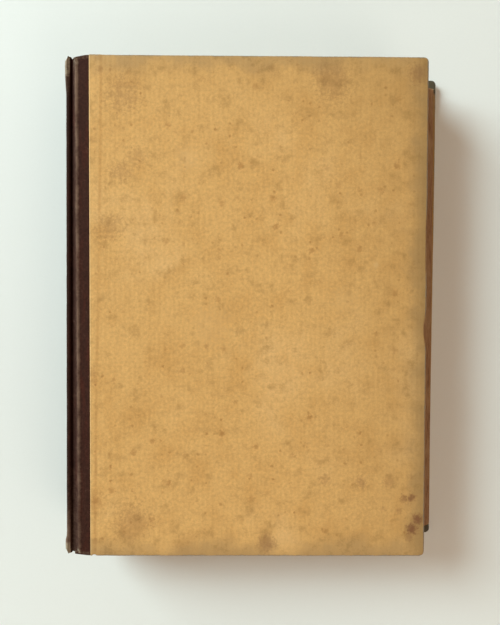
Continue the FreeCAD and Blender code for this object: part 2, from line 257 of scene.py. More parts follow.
# Marks on the front cover: x and y in millimetres, radius, strength
smudges = [(65.7, -87.0, 2.5, 1.0), (63.6, -91.2, 2.7, 1.0), (63.1, -78.3, 2.3, 0.9), (60.4, -78.4, 2.0, 0.7),
           (62.4, -94.6, 1.8, 0.4), (57.9, -83.6, 1.6, 0.4), (51.5, -83.0, 1.8, 0.3), (54.0, -72.0, 3.0, 0.3),
           (42.5, -71.5, 3.0, 0.4), (27.5, -71.0, 3.4, 0.35), (3.5, -97.5, 4.5, 0.5),
           (-52.0, -88.0, 9.0, 0.3), (-60.0, 33.0, 7.0, 0.25), (-56.0, 86.0, 8.0, 0.3),
           (30.0, 92.0, 9.0, 0.3), (64.5, 96.0, 5.0, 0.4), (-57.0, 55.0, 6.0, 0.25), (-50.0, 62.0, 5.0, 0.22)]
scuffs = [(47.5, 17.8, 1.5, 0.6), (-29.5, 60.8, 5.0, 0.3), (35.0, 3.0, 6.0, 0.2), (-20.0, -8.0, 9.0, 0.2)]
stains = [(-68.8, -27.5, 3.0, 0.6), (-67.5, -80.0, 5.0, 0.4), (-30.0, -98.0, 6.0, 0.3)]


def coverPaperFinish(cover):
    look = paperLook
    skin = Finish(f"{cover.name}CoverPaper", "strawDeep", 0.82)
    x, y, z = skin.millimetres()
    s = x - cover.left
    flat = skin.scaled(skin.object, (1, 1, 0.2))
    upright = skin.scaled(skin.object, (1, 0.16, 1))
    patches = skin.noise(flat, look["patches"], 4, 0.6)
    blotches = skin.noise(flat, look["blotches"], 4, 0.6)
    cloudy = skin.noise(flat, look["cloudy"], 4, 0.7)
    mottle = skin.noise(flat, look["mottle"], 3, 0.65)
    streaks = skin.noise(upright, look["streaks"], 2)
    fibres = skin.noise(skin.object, look["fibres"], 3, 0.7)
    phase = s * (2 * math.pi / look["ribPitch"]) + skin.noise(upright, look["ribWander"], 2) * 1.6
    ribs = phase.maths("SINE", phase)

    def mark(places, tone, most):
        whole = None
        for px, py, radius, strength in places:
            away = ((x - px) * (x - px) + (y - py) * (y - py)) ** 0.5 / radius
            spot = skin.ease(away + (blotches - 0.5) * 1.1 + (mottle - 0.5) * 1.9, 1.20, 0.15) * strength
            whole = spot if whole is None else whole.maths("MAXIMUM", whole, spot)
        skin.lay(tone, whole * most)

    skin.lay("straw", skin.ease(blotches, 0.20, 0.62, 0.45, 1.0))
    skin.lay("strawLight", skin.ease(patches, 0.50, 0.80) * 0.60)
    skin.shade(1 + (mottle - 0.5) * 0.62 + (streaks - 0.5) * 0.12 + ribs * 0.010 + (fibres - 0.5) * 0.16)
    skin.lay("tan", skin.ease(cloudy, 0.50, 0.78) * 0.75)
    for scale in (look["specks"], look["fineSpecks"]):
        dots = skin.cells(flat, scale)
        chance = skin.parts(dots.also("Color"))[0]
        dot = skin.ease(dots + (mottle - 0.5) * 0.35, 0.26, 0.08) * skin.ease(chance, 0.25, 0.95)
        skin.lay("foxing", dot * skin.ease(blotches, 0.62, 0.42) * 0.60)
    if cover.onTop:
        mark(scuffs, "strawLight", 0.8)
        mark(stains, "foxing", 0.7)
    # Darkening towards the fore-edge, which is painted shade for the window's light falling off, and towards
    # the head; then handling dirt along all three edges
    fromEnds = cover.half - y.maths("ABSOLUTE", y)
    fromFore = cover.width - s
    rim = fromEnds.maths("MINIMUM", fromEnds, fromFore)
    skin.lay("strawDim", skin.ease(x, 5.0, 68.0) * 0.25 + skin.ease(y + x * 0.25, 62.0, 118.0) * 0.18)
    handled = skin.ease(rim + (blotches - 0.5) * 24 + (cloudy - 0.5) * 10, look["edgeDirt"], -2.0)
    skin.lay("dusty", handled * 0.75)
    ingrained = skin.ease(rim + (blotches - 0.5) * 60, 24.0, -4.0)
    ingrained = ingrained * skin.ease(mottle + (cloudy - 0.5) * 1.2, 0.50, 0.72)
    skin.lay("olive", ingrained * look["ingrained"])
    # An olive band along the fore-edge: discoloured paper, with painted shade where the board's edge rounds
    # away from the light
    side = skin.ease(fromFore + (mottle - 0.5) * 4 + (blotches - 0.5) * 6, 9.0, -1.0)
    skin.lay("olive", side * 0.52)
    if cover.onTop:
        mark(smudges, "grime", 0.78)
    # The wear keeps to the two arrises, not the whole thickness of the board
    edge = skin.ease(rim + (mottle - 0.5) * 0.9, 0.60, -0.05) * skin.ease(cloudy, 0.35, 0.62, 0.35, 1.0)
    up = (z - cover.face) * cover.out
    arris = skin.ease(up, -1.1, -0.3)
    arris = arris.maths("MAXIMUM", arris, skin.ease(up, 0.7 - cover.thick, -cover.thick))
    skin.lay("worn", edge * arris * 0.85)
    if not cover.onTop:
        corner = (fromEnds * fromEnds + fromFore * fromFore) ** 0.5
        skin.lay("cornerDirt", skin.ease(corner + (mottle - 0.5) * 2, 6.5, 5.0) * 0.92)
    # The cloth's hidden edge shows through as a line, and the paper's own edge is bleached
    hidden = s - (paperHinge["reachTail"] + (y + cover.half) * (paperHinge["slant"] / (2 * cover.half)))
    skin.lay("strawLight", skin.ease(hidden, 0.2, -0.8) * 0.06)
    line = skin.ease(hidden.maths("ABSOLUTE", hidden - 0.15), 0.9, 0.1)
    skin.lay("foxing", line * skin.ease(blotches, 0.35, 0.65) * 0.22)
    start = s - paperHinge["start"] - (cover.half - y) * (paperHinge["startSlant"] / (2 * cover.half))
    skin.lay("cream", skin.ease(start, 0.55, 0.15) * 0.15)
    rough = 0.80 - handled * 0.12 + (mottle - 0.5) * 0.2
    return skin.done(skin.bump(mottle * 0.5 + fibres * 0.5, 0.00005, 0.7), rough)


# The spacing of the threads is in millimetres, the noises in waves per millimetre
clothLook = {"thread": 0.45, "patches": 0.16, "fine": 0.75, "coarse": 0.30}


def clothFinish():
    look = clothLook
    weave = Finish("brownSpineCloth", "brown", 0.9, 0.08)
    lie = weave.add("ShaderNodeUVMap", {"uv_map": "clothLie"})
    u, v, _ = weave.parts(lie)
    rub, fray, soot = (weave.add("ShaderNodeAttribute", {"attribute_name": label}, out="Fac")
                       for label in clothMarks)
    patches = weave.noise(weave.scaled(lie, (1, 0.22, 1)), look["patches"], 4, 0.65)
    fine = weave.noise(lie, look["fine"], 4, 0.75)
    coarse = weave.noise(weave.scaled(lie, (1, 0.6, 1)), look["coarse"], 4, 0.6)
    turn = 2 * math.pi / look["thread"]
    threads = u.maths("SINE", u * turn) * v.maths("SINE", v * turn)
    weave.lay("reddish", weave.ease(patches, 0.50, 0.70) * 0.7)
    # The cloth is darkened by painted shade, full in the groove and over the crest
    weave.shade((0.95 + (fine - 0.5) * 1.5 + (coarse - 0.5) * 0.5 + threads * 0.06) * (1 - soot * 0.34))
    # Rubbed wear, which along the ridge over the board's edge is also a painted highlight
    worn = weave.ease(rub + (fine - 0.5) * 0.8 + (coarse - 0.5) * 0.5 + threads * 0.05, 0.02, 1.05)
    weave.lay("rubbedAndLit", worn)
    gone = weave.ease(fray + (fine - 0.5) * 1.5 + (coarse - 0.5) * 1.3 + threads * 0.10, 0.30, 1.05)
    weave.lay("bare", gone * 0.85)
    normal = weave.bump(threads, 0.00003, 0.7, weave.bump(fine, 0.00010, 0.6))
    return weave.done(normal, 0.78 + worn * 0.12)


def pagesFinish():
    edge = Finish("pageEdges", "pageDark")
    layers = edge.noise(edge.scaled(edge.object, (0.02, 0.02, 1)), 5200, 3, 0.7)
    patches = edge.noise(edge.scaled(edge.object, (1, 1, 2)), 45, 4, 0.6)
    edge.lay("pageEdge", edge.ease(layers, 0.25, 0.60))
    edge.lay("leafBrown", edge.ease(patches, 0.45, 0.75) * 0.6)
    speck = edge.ease(edge.cells(edge.object, 420), 0.16, 0.04) * edge.ease(patches, 0.5, 0.6)
    edge.lay("foxing", speck * 0.6)
    return edge.done(edge.bump(layers, 0.00008, 0.8), 0.8 + (patches - 0.5) * 0.2)


def leafFinish(name, flyleaf):
    leaf = Finish(name, "leaf", 0.75, 0.25)
    x, y, _ = leaf.millimetres()
    clouds = leaf.noise(leaf.scaled(leaf.object, (1, 1, 0.1)), 18, 5, 0.6)
    fibres = leaf.noise(leaf.object, 1500, 3, 0.65)
    fromEnds = halfPages - y.maths("ABSOLUTE", y)
    margin = fromEnds.maths("MINIMUM", fromEnds, span(flyleaf)[1][0] - x)
    leaf.lay("leafBrown", leaf.ease(clouds, 0.45, 0.85) * 0.55)
    leaf.lay("leafBrown", leaf.ease(margin + (clouds - 0.5) * 20, 14, -4) * 0.8)
    spots = leaf.ease(leaf.cells(leaf.object, 120), 0.12, 0.03) * leaf.ease(clouds, 0.48, 0.6)
    leaf.lay("foxing", spots * 0.6)
    leaf.shade(1 + (fibres - 0.5) * 0.10)
    return leaf.done(leaf.bump(fibres, 0.00003, 0.6), 0.72 + (clouds - 0.5) * 0.2)


def boardFinish():
    card = Finish("millboard", "boardGrey", 0.9, 0.15)
    clouds = card.noise(card.object, 160, 5, 0.7)
    layers = card.noise(card.scaled(card.object, (0.1, 0.1, 1)), 3200, 2)
    card.lay("grime", card.ease(clouds * 0.6 + layers * 0.4, 0.42, 0.72) * 0.7)
    return card.done(card.bump(clouds * 0.5 + layers * 0.5, 0.0002, 0.8))


def threadedFinish(name, light, dark, pitch, glue=0.0):
    thread = Finish(name, dark)
    x, y, z = thread.parts(thread.object)
    turn = 2 * math.pi / (pitch * mm)
    across = x.maths("SINE", (x + z) * turn) * y.maths("SINE", y * turn)
    clouds = thread.noise(thread.object, 220, 4, 0.6)
    thread.lay(light, thread.ease(across * 0.5 + clouds, 0.15, 0.75))
    thread.lay("glue", thread.ease(clouds, 0.50, 0.72) * glue)
    return thread.done(thread.bump(across, 0.00005, 0.8))


def cardFinish(name, light, dark):
    card = Finish(name, dark)
    clouds = card.noise(card.object, 130, 5, 0.65)
    fibres = card.noise(card.scaled(card.object, (1, 0.3, 1)), 1400, 3, 0.7)
    card.lay(light, card.ease(clouds * 0.6 + fibres * 0.4, 0.35, 0.62))
    return card.done(card.bump(fibres, 0.00005, 0.7))


# The floor's lengths are in millimetres, its glow's reach in metres
studio = {"flat": 2600, "sweep": 700, "wall": 900, "drop": 0.05, "sides": 96, "sweepSteps": 10,
          "glowFrom": 0.7, "glowTo": 2.4}


def floorFinish():
    table = Finish("paleFloor", "floor", 0.7, 0.25)
    grain = table.noise(table.object, 900, 3, 0.6)
    clouds = table.noise(table.object, 3, 2)
    table.shade(1 + (grain - 0.5) * 0.03 + (clouds - 0.5) * 0.03)
    # The wall is lit evenly from afar, so a little of its own light stands in for the room
    x, y, z = table.parts(table.object)
    afar = table.ease((x * x + y * y + z * z) ** 0.5, studio["glowFrom"], studio["glowTo"])
    glow = table.blend(tones["dark"], tones["wallGlow"], afar)
    table.tree.links.new(glow.socket, table.shader.inputs["Emission Color"])
    table.shader.inputs["Emission Strength"].default_value = 1.0
    return table.done(table.bump(grain, 0.0001, 0.2))


# Mesh helpers
def plainMesh(name, points, faces):
    mesh = bpy.data.meshes.new(name)
    mesh.from_pydata(points, [], faces)
    return mesh


def settled(mesh, angle=None, merge=True, dissolve=True, out=0):
    # Joins points that coincide, turns the faces outwards and shades smooth up to the angle
    shell = bmesh.new()
    shell.from_mesh(mesh)
    if merge:
        bmesh.ops.remove_doubles(shell, verts=shell.verts, dist=1e-7)
    if dissolve:
        bmesh.ops.dissolve_degenerate(shell, edges=shell.edges, dist=1e-8)
    bmesh.ops.recalc_face_normals(shell, faces=shell.faces)
    if out:
        outmost = max(shell.faces, key=lambda face: face.calc_center_median().z * out)
        if outmost.normal.z * out < 0:
            bmesh.ops.reverse_faces(shell, faces=shell.faces)
    shell.to_mesh(mesh)
    shell.free()
    mesh.shade_smooth()
    if angle:
        mesh.set_sharp_from_angle(angle=math.radians(angle))
    return mesh


def show(name, mesh, material=None):
    piece = bpy.data.objects.new(name, mesh)
    bpy.context.scene.collection.objects.link(piece)
    if material:
        mesh.materials.clear()
        mesh.materials.append(material)
    return piece


def baked(piece):
    # The evaluated object as a plain mesh, with its modifiers gone
    bpy.context.view_layer.update()
    result = bpy.data.meshes.new_from_object(piece.evaluated_get(bpy.context.evaluated_depsgraph_get()))
    result.name = piece.name
    piece.modifiers.clear()
    piece.data = result
    return piece


def gridFaces(columns, rows):
    faces = []
    for i in range(columns - 1):
        for j in range(rows - 1):
            a = i * rows + j
            faces.append((a, a + rows, a + rows + 1, a + 1))
    return faces


def closedSheet(columns, rows, upper, lower):
    # Faces of a thin sheet: its two grids of points, joined all round their rim
    grid = gridFaces(columns, rows)
    faces = [tuple(upper[k] for k in face) for face in grid]
    faces += [tuple(lower[k] for k in reversed(face)) for face in grid]
    rim = [i * rows for i in range(columns)] + [(columns - 1) * rows + j for j in range(1, rows)]
    rim += [i * rows + rows - 1 for i in range(columns - 2, -1, -1)] + list(range(rows - 2, 0, -1))
    return faces + [(upper[a], upper[b], lower[b], lower[a]) for a, b in zip(rim, rim[1:] + rim[:1])]


def stackedRings(count, rings):
    # Faces of a solid made of rings of points, with a cap at each end
    faces = []
    for ring in range(rings - 1):
        for index in range(count):
            a, b = ring * count + index, ring * count + (index + 1) % count
            faces.append((a, b, b + count, a + count))
    faces.append(tuple(range(count)))
    faces.append(tuple(range((rings - 1) * count, rings * count)))
    return faces


def geometryTree(name, inputs):
    tree = bpy.data.node_groups.new(name, "GeometryNodeTree")
    tree.interface.new_socket("Geometry", in_out="INPUT", socket_type="NodeSocketGeometry")
    for label, value in inputs.items():
        kind = "NodeSocketInt" if isinstance(value, int) else "NodeSocketFloat"
        tree.interface.new_socket(label, in_out="INPUT", socket_type=kind).default_value = value
    tree.interface.new_socket("Geometry", in_out="OUTPUT", socket_type="NodeSocketGeometry")
    graph = Graph(tree)
    return graph, graph.add("NodeGroupInput")


def geometryEnd(graph, shape, material):
    whole = graph.add("GeometryNodeRealizeInstances", values=[shape])
    painted = graph.add("GeometryNodeSetMaterial", values={"Geometry": whole, "Material": material})
    last = graph.tree.nodes.new("NodeGroupOutput")
    graph.tree.links.new(painted.socket, last.inputs[0])


def grow(piece, tree, values):
    modifier = piece.modifiers.new(tree.name, "NODES")
    modifier.node_group = tree
    for item in tree.interface.items_tree:
        if item.in_out == "INPUT" and item.name in values:
            modifier[item.identifier] = values[item.name]


# Camera and light
# Place in millimetres, turn in degrees, focal length and the picture's height in pixels
view = {"place": (-5.41, 1.67, 238.35), "turn": (-0.969, -0.437, 0.252), "focal": 520.3, "tall": 625}
camera = bpy.data.objects.new("camera", bpy.data.cameras.new("camera"))
bpy.context.scene.collection.objects.link(camera)
camera.location = Vector(view["place"]) * mm
camera.rotation_euler = [math.radians(angle) for angle in view["turn"]]
camera.data.sensor_width = 36
camera.data.lens = view["focal"] / view["tall"] * camera.data.sensor_width
camera.data.clip_start = 0.01
bpy.context.scene.camera = camera
bpy.context.scene.view_settings.view_transform = "Standard"

# Lamps stand where their direction and distance say: distances and sizes in metres, powers in watts
light = {
    "window": {"from": (-0.80, 0.50, 0.50), "away": 1.9, "size": 1.0, "power": 53.0,
               "colour": (0.79, 0.97, 1.0)},
    "room": {"from": (0.55, -0.75, 0.60), "away": 0.9, "size": 0.5, "power": 1.4,
             "colour": (1.0, 0.88, 0.76)},
}
for name, lamp in light.items():
    area = bpy.data.lights.new(name, "AREA")
    area.shape, area.size, area.energy, area.color = "SQUARE", lamp["size"], lamp["power"], lamp["colour"]
    holder = bpy.data.objects.new(name, area)
    bpy.context.scene.collection.objects.link(holder)
    holder.location = Vector(lamp["from"]).normalized() * lamp["away"]
    holder.rotation_euler = Vector(lamp["from"]).to_track_quat("Z", "Y").to_euler()
sky = {"colour": (1.0, 0.61, 0.36), "strength": 0.31}
world = bpy.data.worlds.new("room")
bpy.context.scene.world = world
world.use_nodes = True
world.node_tree.nodes["Background"].inputs["Color"].default_value = (*sky["colour"], 1)
world.node_tree.nodes["Background"].inputs["Strength"].default_value = sky["strength"]


def makeFloor():
    # A round table top that sweeps up into a pale wall
    path = [(studio["flat"] * share, 0.0) for share in (0.1, 0.3, 0.6, 1.0)]
    path += arc((studio["flat"], studio["sweep"]), studio["sweep"], -90, 0, studio["sweepSteps"])[1:]
    path.append((studio["flat"] + studio["sweep"], studio["sweep"] + studio["wall"]))
    sides = studio["sides"]
    points = [Vector((0, 0, -studio["drop"])) * mm]
    for out, up in path:
        for turn in steps(0, 2 * math.pi, sides)[:-1]:
            points.append(Vector((out * math.cos(turn), out * math.sin(turn), up - studio["drop"])) * mm)
    faces = [(0, 1 + k, 1 + (k + 1) % sides) for k in range(sides)]
    for ring in range(len(path) - 1):
        for k in range(sides):
            first, second = 1 + ring * sides + k, 1 + ring * sides + (k + 1) % sides
            faces.append((first, first + sides, second + sides, second))
    mesh = plainMesh("studioFloor", points, faces)
    mesh.shade_smooth()
    return show("studio_floor", mesh, floorFinish())


makeFloor()
print("camera, light and floor are set")

# Wear of a cover's outline: how far its edge has drawn in, in millimetres
wear = {
    "ripple": 0.07, "fineRipple": 0.05, "endRipple": 0.06, "fineEndRipple": 0.03, "bow": 0.05,
    "chipAt": -8.5, "chipHalf": 5.0, "chipDeep": 0.9, "rubAt": 26.0, "rubHalf": 11.0, "rubDeep": 0.35,
    "nickAt": 7.9, "nickHalf": 0.7, "nickDeep": 0.5, "backTail": 0.95,
    "spineCornerHead": 1.1, "spineCornerTail": 0.8, "spineCornerReach": 6.0,
}


def foreWear(cover, y):
    loss = wear["ripple"] * (1 + wander(y, 0, 9, cover.seed))
    loss += wear["fineRipple"] * wander(y, 0, 1.7, cover.seed)
    if cover.onTop:
        loss += wear["chipDeep"] * smooth(wear["chipHalf"] - abs(y - wear["chipAt"]), -1.5, 1.5)
        loss += wear["rubDeep"] * smooth(wear["rubHalf"] - abs(y - wear["rubAt"]), -3, 3)
    else:
        loss += wear["backTail"] * smooth(-y, -90, 70)
    return loss


def endWear(cover, s, head):
    loss = wear["endRipple"] * (1 + wander(s, 0, 11, cover.seed + (5 if head else 9)))
    loss += wear["fineEndRipple"] * wander(s, 0, 2, cover.seed)
    deep = wear["spineCornerHead"] if head else wear["spineCornerTail"]
    loss += deep * max(0, 1 - max(s, -0.3) / wear["spineCornerReach"]) ** 1.7
    if cover.onTop and not head:
        loss += wear["nickDeep"] * smooth(wear["nickHalf"] - abs(s - wear["nickAt"]), -0.35, 0.35)
    return loss


def worn(cover, s, y, h):
    # Draws the outline in where it is worn, and lets the board bow a little
    head = y > 0
    s -= foreWear(cover, y) * smooth(s, cover.width - 5, cover.width - 0.5)
    near = smooth(abs(y), cover.half - 4, cover.half - 0.5)
    y -= endWear(cover, s, head) * near * (1 if head else -1)
    h += wear["bow"] * wander(s, y, 60, cover.seed + 2)
    return s, y, h


board = {"edge": 0.95, "corner": 1.8, "cornerEased": 0.6, "edgeSteps": 4, "cornerSteps": 6, "spineGap": 0.6,
         "endSpacing": 3.0, "foreSpacing": 1.2}


def outline(cover, inset, corner):
    # Places and outward directions round a cover's head, fore-edge and tail, head first
    half, right = cover.half - inset, cover.width - inset
    count = max(2, int((right - corner) / board["endSpacing"]))
    head = [((s, half), (0, 1)) for s in steps(0.0, right - corner, count)]
    for turn in steps(90, 0, board["cornerSteps"])[1:]:
        way = (math.cos(math.radians(turn)), math.sin(math.radians(turn)))
        head.append(((right - corner + corner * way[0], half - corner + corner * way[1]), way))
    count = int(2 * (half - corner) / board["foreSpacing"])
    fore = [((right, y), (1, 0)) for y in steps(half - corner, corner - half, count)[1:-1]]
    return head + fore + [((s, -y), (across, -along)) for (s, y), (across, along) in reversed(head)]


def makeBoard(cover):
    # A solid card plate with rubbed edges: rings round its outline and one cap on each face
    edge = board["edge"]
    path = outline(cover, edge, board["corner"] - edge * board["cornerEased"])
    rings = arc((0, -edge), edge, 90, 0, board["edgeSteps"])
    rings += [(out, -cover.thick - h) for out, h in reversed(rings)]
    points = []
    for out, h in rings:
        for (s, y), way in path:
            s = max(s, board["spineGap"] + edgeShift(cover, y))
            points.append(cover.place(*worn(cover, s + way[0] * out, y + way[1] * out, h)))
    name = f"{cover.name}_board_card"
    return show(name, settled(plainMesh(name, points, stackedRings(len(path), len(rings))), 40), boards)


paperHinge = {"start": 6.0, "startSlant": 0.5, "slantOver": 3.0, "reachTail": 8.0, "slant": 2.9, "rise": 0.09,
              "riseFrom": 1.1, "riseOver": 2.0}
coverSheet = {"ribPitch": 2.0, "ribHeight": 0.014, "ribWander": 1.5, "perRib": 6, "rows": 60, "roll": 0.65,
              "innerRoll": 0.6, "rollSteps": 5, "turnInStart": 2.0, "turnIn": 14.0, "corner": 2.0,
              "cornerTurns": (22, 45, 67, 90), "thick": 0.18, "over": 0.34, "under": 0.2, "underCloth": 0.08,
              "swell": 0.05}


def clothReach(cover, y):
    return paperHinge["reachTail"] + paperHinge["slant"] * (y + cover.half) / (2 * cover.half)


def overCloth(cover, s, y):
    # How far the paper is lifted by the cloth beneath it, as a share
    return smooth(clothReach(cover, y) + paperHinge["riseFrom"] - s, 0, paperHinge["riseOver"])


def ribTree(cover, values):
    # Moves every point of the sheet along its normal in fine ribs that run from head to tail
    graph, entry = geometryTree(f"{cover.name}Ribs", values)
    place = graph.add("GeometryNodeInputPosition")
    settings = {"Vector": graph.scaled(place, (1, 0.15, 1)), "Scale": 260.0, "Detail": 2.0}
    drift = graph.add("ShaderNodeTexNoise", values=settings)
    phase = graph.parts(place)[0] / entry.also("Pitch") * (2 * math.pi) + (drift - 0.5) * entry.also("Wander")
    lift = phase.maths("SINE", phase) * entry.also("Height")
    offset = graph.stretched(graph.add("GeometryNodeInputNormal"), lift)
    moved = graph.add("GeometryNodeSetPosition", values={"Geometry": entry, "Offset": offset})
    geometryEnd(graph, moved, papers[cover.name])
    return graph.tree


def makeCoverPaper(cover):
    # The top face is a grid; its rim then rolls over three edges and turns in under the board
    sheet = coverSheet
    lift, roll, inner, start = sheet["over"], sheet["roll"], sheet["innerRoll"], paperHinge["start"]
    half, right = cover.half + lift - roll, cover.width + lift - roll
    corner = sheet["corner"] - roll
    turnAt = right - corner
    columns = steps(start, turnAt, int((turnAt - start) / (sheet["ribPitch"] / sheet["perRib"])))
    columns += [turnAt + corner * math.sin(math.radians(turn)) for turn in sheet["cornerTurns"]]
    rows = steps(-1, 1, sheet["rows"])
    places = []
    for s in columns:
        reach = half - corner + math.sqrt(max(0, corner ** 2 - max(0, s - turnAt) ** 2))
        near = smooth(start + paperHinge["slantOver"] - s, 0, paperHinge["slantOver"])
        for share in rows:
            slide = paperHinge["startSlant"] * (1 - (share + 1) / 2) * near
            places.append((s + slide, share * reach))
    rise = paperHinge["rise"]
    points = [cover.place(*worn(cover, s, y, lift + rise * overCloth(cover, s, y))) for s, y in places]
    faces = gridFaces(len(columns), len(rows))
    last, final = len(rows) - 1, (len(columns) - 1) * len(rows)
    ways = [wayAt(s, turnAt, corner) for s in columns]
    rim = [i * len(rows) + last for i in range(len(columns))]
    rim += [final + j for j in range(last - 1, 0, -1)]
    rim += [i * len(rows) for i in range(len(columns) - 1, -1, -1)]
    ways += [(1, 0)] * (last - 1) + [(way[0], -way[1]) for way in reversed(ways)]
    edge = [(*places[index], *way) for index, way in zip(rim, ways)]

    def joined(previous, row):
        ring = list(range(len(points), len(points) + len(row)))
        points.extend(cover.place(*worn(cover, *place)) for place in row)
        faces.extend((previous[k], ring[k], ring[k + 1], previous[k + 1]) for k in range(len(ring) - 1))
        return ring

    bottom = -cover.thick - sheet["under"]
    profile = arc((0, lift - roll), roll, 90, 0, sheet["rollSteps"])[1:]
    profile += arc((roll - inner, bottom + inner), inner, 0, -90, sheet["rollSteps"])
    for out, h in profile:
        side = smooth(h, bottom, lift)
        row = []
        for s, y, across, along in edge:
            proud = overCloth(cover, s, y)
            drop = proud * (rise * side - sheet["underCloth"] * (1 - side))
            swell = out + sheet["swell"] * proud * smooth(out, 0, roll)
            row.append((s + across * out, y + along * swell, h + drop))
        rim = joined(rim, row)
    for depth in (sheet["turnInStart"], sheet["turnIn"]):
        limitX, limitY = cover.width + lift - depth, cover.half + lift - depth
        row = []
        for s, y, across, along in edge:
            drop = sheet["underCloth"] * overCloth(cover, s, y)
            row.append((min(s, limitX), max(-limitY, min(limitY, y)), bottom - drop))
        rim = joined(rim, row)
    name = f"{cover.name}_ribbed_paper"
    mesh = settled(plainMesh(name, points, faces), dissolve=False, out=cover.out)
    piece = show(name, mesh, papers[cover.name])
    values = {"Pitch": sheet["ribPitch"] * mm, "Height": sheet["ribHeight"] * mm,
              "Wander": sheet["ribWander"]}
    grow(piece, ribTree(cover, values), values)
    thick = piece.modifiers.new("thickness", "SOLIDIFY")
    thick.thickness = sheet["thick"] * mm
    thick.offset = -1
    return baked(piece)


def wayAt(s, start, corner):
    # Outward direction of the head edge where it runs into the rounded corner
    if s <= start or corner <= 0:
        return (0, 1)
    lean = min(1, (s - start) / corner)
    return (lean, math.sqrt(1 - lean * lean))


clothStrip = {
    "thick": 0.25, "reach": 9.5, "rows": 120, "spineBelow": -5.0, "grooveFrom": -1.9, "floor": -2.55,
    "wallFoot": -1.95, "ridge": 0.75, "ridgeEnd": 2.1, "ridgeTop": 0.42, "shift": 0.05, "slant": 1.10,
    "paperFrom": 6.3, "rub": 0.72, "turnInTo": 88.4, "turnInFrom": 1.6, "turnInProud": 0.015,
    "turnInRoll": 0.6, "turnInInner": 0.5,
}
# How far the cloth puckers on the board, at its lip, on the spine and at the spine's ends
puckers = {"board": 0.03, "boardFine": 0.02, "lip": 0.07, "spine": 0.05, "spineFine": 0.03, "ends": 0.12}
# The worn ends of the spine: how far they swell, stretch and fold in, and how far they are frayed
spineEnds = {
    "head": {"swell": 0.50, "swellFrom": 86, "stretch": 0.6, "foldPast": 0.55, "frayReach": 12.0,
             "fray": 0.85},
    "tail": {"swell": 0.55, "swellFrom": 94, "stretch": 0.4, "foldPast": 0.35, "frayReach": 7.0,
             "fray": 0.90},
}
# The cloth's marks: rubbed wear, which on the ridge over the board's edge is also a painted highlight;
# fraying; and painted shade, full in the groove and over the crest
clothMarks = ("rub", "fray", "soot")


class Shell:
    # Collects points with their place on the flat cloth, their wear and their painted shade, for one mesh
    def __init__(self):
        self.points, self.faces, self.lies, self.wearAndShade = [], [], [], []

    def put(self, point, lie, wear):
        self.points.append(point)
        self.lies.append(lie)
        self.wearAndShade.append(wear)
        return len(self.points) - 1

    def loops(self, rings):
        # Joins closed rings of equal length into a tube with its ends shut
        count = len(rings[0])
        for one, two in zip(rings, rings[1:]):
            for k in range(count):
                self.faces.append((one[k], two[k], two[(k + 1) % count], one[(k + 1) % count]))
        self.faces.append(tuple(rings[0]))
        self.faces.append(tuple(reversed(rings[-1])))

    def mesh(self, name):
        mesh = plainMesh(name, self.points, self.faces)
        uvs = mesh.uv_layers.new(name="clothLie")
        for loop in mesh.loops:
            uvs.data[loop.index].uv = self.lies[loop.vertex_index]
        for place, label in enumerate(clothMarks):
            layer = mesh.attributes.new(label, "FLOAT", "POINT")
            for index, wear in enumerate(self.wearAndShade):
                layer.data[index].value = wear[place]
        return settled(mesh, 60, merge=False, dissolve=False)


def clothSection(startAngle):
    # Outer face of the cloth from the spine to its hidden end on the board, as (s, h, rubbed wear with a
    # painted highlight on the ridge, painted shade that is full in the groove and over the crest)
    strip = clothStrip
    crest = (-book["crestInset"], frontCrest[1] - front.face)
    # The crest and the groove's floor get full painted shade
    path = [(s, h, 0.0, 1.0) for s, h in arc(crest, book["crestRadius"], startAngle, -6, 26)]
    grooveStart = crest[0] + book["crestRadius"] + 0.1
    path += [(s, strip["floor"], 0.0, 1.0) for s in steps(grooveStart, strip["wallFoot"], 2)[:-1]]
    # Up the groove's wall the painted shade fades out, and the ridge gets a painted highlight on top of its
    # rubbed wear
    for s in steps(strip["wallFoot"], strip["ridge"], 18):
        rise = smooth(s, strip["wallFoot"], strip["ridge"])
        h = strip["floor"] + (strip["ridgeTop"] - strip["floor"]) * rise
        rub = strip["rub"] * (0.45 * smooth(s, -1.3, 0.2) + 0.55 * smooth(s, 0.0, 0.7))
        path.append((s, h, rub, 1 - smooth(s, -1.8, 0.7)))
    for s in steps(strip["ridge"], strip["ridgeEnd"], 8)[1:]:
        fall = smooth(s, strip["ridge"], strip["ridgeEnd"])
        rub = strip["rub"] * (1 - smooth(s, strip["ridge"] + 0.1, strip["ridgeEnd"]))
        path.append((s, strip["ridgeTop"] + (strip["thick"] - strip["ridgeTop"]) * fall, rub, 0.0))
    return path + [(s, strip["thick"], 0.0, 0.0) for s in steps(strip["ridgeEnd"], strip["reach"], 14)[1:]]


